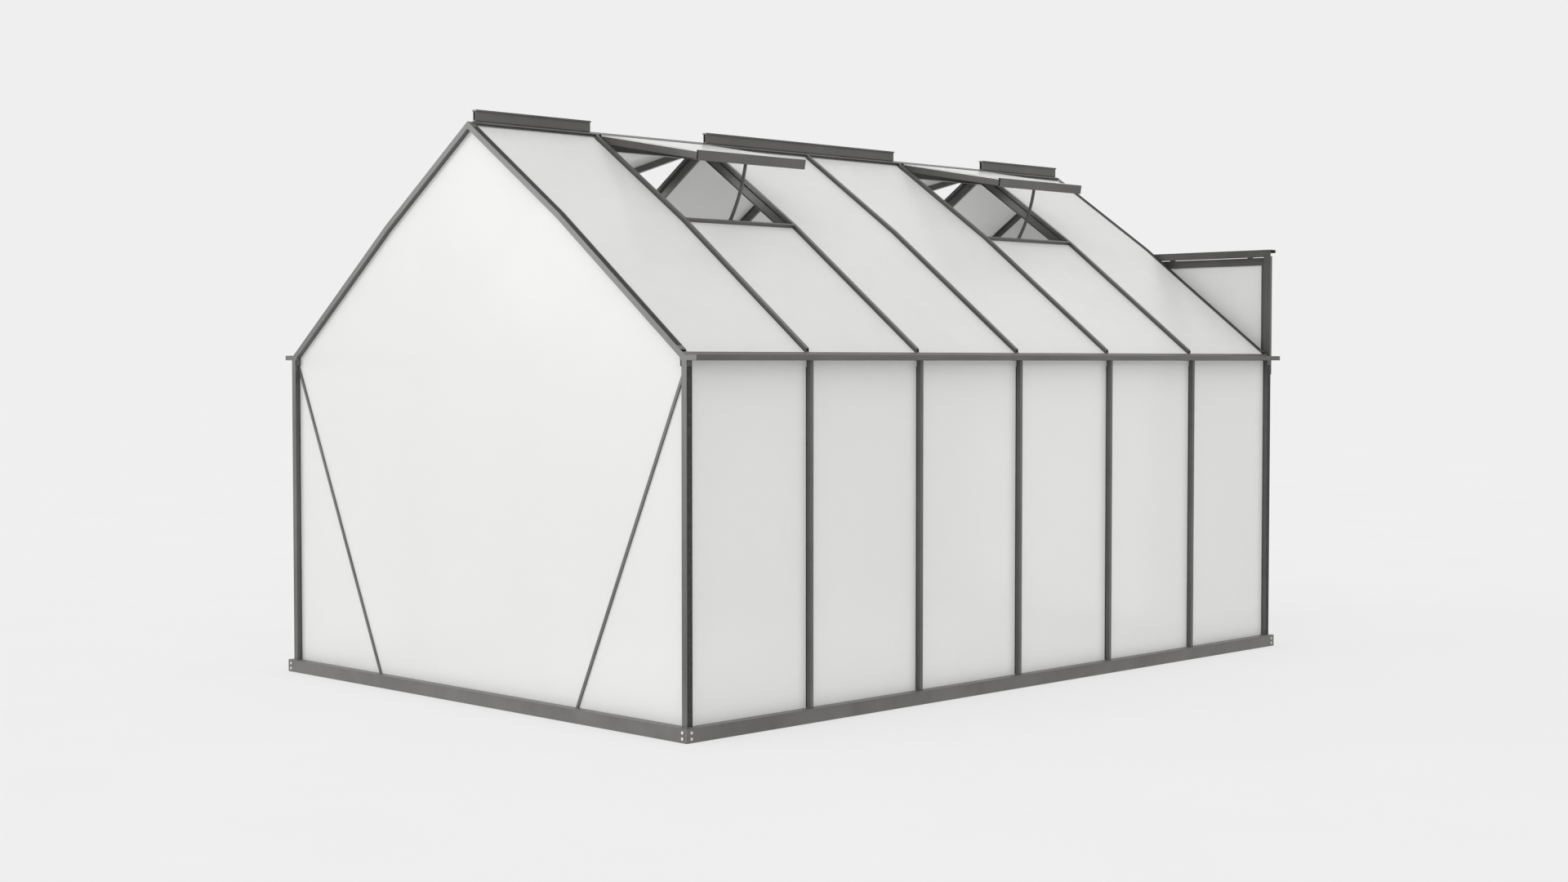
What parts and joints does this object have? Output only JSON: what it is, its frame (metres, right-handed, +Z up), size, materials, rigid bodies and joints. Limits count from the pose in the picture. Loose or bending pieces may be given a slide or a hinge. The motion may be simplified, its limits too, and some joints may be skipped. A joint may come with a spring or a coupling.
{
  "type": "greenhouse",
  "caption": "Walk-in greenhouse of dark aluminium bars and milky hollow sheets, with a two-pitch gable roof, ridge vents propped open on curved stays, eave gutters and sliding double doors.",
  "frame": {"origin": "centre of the footprint at ground level", "axes": "+Z up; +Y along the length, from the closed gable towards the door gable; +X across the width, towards the right-hand long wall"},
  "size_m": [2.642, 3.817, 2.3412],
  "materials": {
    "anthracite_aluminium": "powder-coated satin",
    "polycarbonate": "milky translucent hollow sheet",
    "nylon": "moulded",
    "bolt_steel": "zinc plated"
  },
  "bodies": {
    "house": {"base_bolts": "bolt_steel", "base_corner_brackets": "anthracite_aluminium", "base_rail_back": "anthracite_aluminium", "base_rail_front": "anthracite_aluminium", "base_rail_left": "anthracite_aluminium", "base_rail_right": "anthracite_aluminium", "corner_post_back_left": "anthracite_aluminium", "corner_post_back_right": "anthracite_aluminium", "corner_post_front_left": "anthracite_aluminium", "corner_post_front_right": "anthracite_aluminium", "door_jambs": "anthracite_aluminium", "door_track": "anthracite_aluminium", "eave_gutter_left": "anthracite_aluminium", "eave_gutter_right": "anthracite_aluminium", "gable_braces": "anthracite_aluminium", "gable_panel_front": "polycarbonate", "gable_panels_back": "polycarbonate", "gable_rafters_back": "anthracite_aluminium", "gable_rafters_front": "anthracite_aluminium", "gutter_end_caps": "anthracite_aluminium", "ridge_beam": "anthracite_aluminium", "ridge_crests": "anthracite_aluminium", "roof_bar_1_left": "anthracite_aluminium", "roof_bar_1_right": "anthracite_aluminium", "roof_bar_2_left": "anthracite_aluminium", "roof_bar_2_right": "anthracite_aluminium", "roof_bar_3_left": "anthracite_aluminium", "roof_bar_3_right": "anthracite_aluminium", "roof_bar_4_left": "anthracite_aluminium", "roof_bar_4_right": "anthracite_aluminium", "roof_bar_5_left": "anthracite_aluminium", "roof_bar_5_right": "anthracite_aluminium", "roof_panels_left": "polycarbonate", "roof_panels_right": "polycarbonate", "vent_sills": "anthracite_aluminium", "wall_panels_left": "polycarbonate", "wall_panels_right": "polycarbonate", "wall_posts_left": "anthracite_aluminium", "wall_posts_right": "anthracite_aluminium"},
    "door_leaf_left": {"door_frame_left": "anthracite_aluminium", "door_panels_left": "polycarbonate"},
    "wheel_inner_left": {"door_wheel_inner_left": "nylon"},
    "wheel_outer_left": {"door_wheel_outer_left": "nylon"},
    "vent_front_left": {"vent_frame_front_left": "anthracite_aluminium", "vent_panel_front_left": "polycarbonate"},
    "stay_front_left": {"vent_stay_front_left": "anthracite_aluminium"},
    "vent_back_left": {"vent_frame_back_left": "anthracite_aluminium", "vent_panel_back_left": "polycarbonate"},
    "stay_back_left": {"vent_stay_back_left": "anthracite_aluminium"},
    "door_leaf_right": {"door_frame_right": "anthracite_aluminium", "door_panels_right": "polycarbonate"},
    "wheel_inner_right": {"door_wheel_inner_right": "nylon"},
    "wheel_outer_right": {"door_wheel_outer_right": "nylon"},
    "vent_front_right": {"vent_frame_front_right": "anthracite_aluminium", "vent_panel_front_right": "polycarbonate"},
    "stay_front_right": {"vent_stay_front_right": "anthracite_aluminium"},
    "vent_back_right": {"vent_frame_back_right": "anthracite_aluminium", "vent_panel_back_right": "polycarbonate"},
    "stay_back_right": {"vent_stay_back_right": "anthracite_aluminium"}
  },
  "joints": [
    {"name": "door_slide_right", "type": "slide", "parent": "house", "child": "door_leaf_right", "axis": [1, 0, 0], "range_m": [-0.602, 0]},
    {"name": "wheel_spin_inner_right", "type": "hinge", "parent": "door_leaf_right", "child": "wheel_inner_right", "pos_m": [0.693, 1.8705, 1.86029], "axis": [0, 1, 0], "continuous": true},
    {"name": "wheel_spin_outer_right", "type": "hinge", "parent": "door_leaf_right", "child": "wheel_outer_right", "pos_m": [1.138, 1.8705, 1.86029], "axis": [0, 1, 0], "continuous": true},
    {"name": "vent_hinge_front_right", "type": "hinge", "parent": "house", "child": "vent_front_right", "pos_m": [0.024, -0.9435, 2.28405], "axis": [0, -1, 0], "range_deg": [-24.4, 0]},
    {"name": "stay_pivot_front_right", "type": "hinge", "parent": "vent_front_right", "child": "stay_front_right", "pos_m": [0.59555, -0.9435, 2.16905], "axis": [0, 1, 0], "range_deg": [0, 70]},
    {"name": "vent_hinge_back_right", "type": "hinge", "parent": "house", "child": "vent_back_right", "pos_m": [0.024, 0.9165, 2.28405], "axis": [0, -1, 0], "range_deg": [-24.4, 0]},
    {"name": "stay_pivot_back_right", "type": "hinge", "parent": "vent_back_right", "child": "stay_back_right", "pos_m": [0.59555, 0.9165, 2.16905], "axis": [0, 1, 0], "range_deg": [0, 70]},
    {"name": "door_slide_left", "type": "slide", "parent": "house", "child": "door_leaf_left", "axis": [-1, 0, 0], "range_m": [-0.602, 0]},
    {"name": "wheel_spin_inner_left", "type": "hinge", "parent": "door_leaf_left", "child": "wheel_inner_left", "pos_m": [-0.693, 1.8705, 1.86029], "axis": [0, -1, 0], "continuous": true},
    {"name": "wheel_spin_outer_left", "type": "hinge", "parent": "door_leaf_left", "child": "wheel_outer_left", "pos_m": [-1.138, 1.8705, 1.86029], "axis": [0, -1, 0], "continuous": true},
    {"name": "vent_hinge_front_left", "type": "hinge", "parent": "house", "child": "vent_front_left", "pos_m": [-0.024, -0.9435, 2.28405], "axis": [0, 1, 0], "range_deg": [-24.4, 0]},
    {"name": "stay_pivot_front_left", "type": "hinge", "parent": "vent_front_left", "child": "stay_front_left", "pos_m": [-0.59555, -0.9435, 2.16905], "axis": [0, -1, 0], "range_deg": [0, 70]},
    {"name": "vent_hinge_back_left", "type": "hinge", "parent": "house", "child": "vent_back_left", "pos_m": [-0.024, 0.9165, 2.28405], "axis": [0, 1, 0], "range_deg": [-24.4, 0]},
    {"name": "stay_pivot_back_left", "type": "hinge", "parent": "vent_back_left", "child": "stay_back_left", "pos_m": [-0.59555, 0.9165, 2.16905], "axis": [0, -1, 0], "range_deg": [0, 70]}
  ],
  "couplings": [
    {"joint": "wheel_spin_inner_right", "follows": "door_slide_right", "rad_per_m": 100},
    {"joint": "wheel_spin_outer_right", "follows": "door_slide_right", "rad_per_m": 100},
    {"joint": "wheel_spin_inner_left", "follows": "door_slide_left", "rad_per_m": 100},
    {"joint": "wheel_spin_outer_left", "follows": "door_slide_left", "rad_per_m": 100}
  ]
}
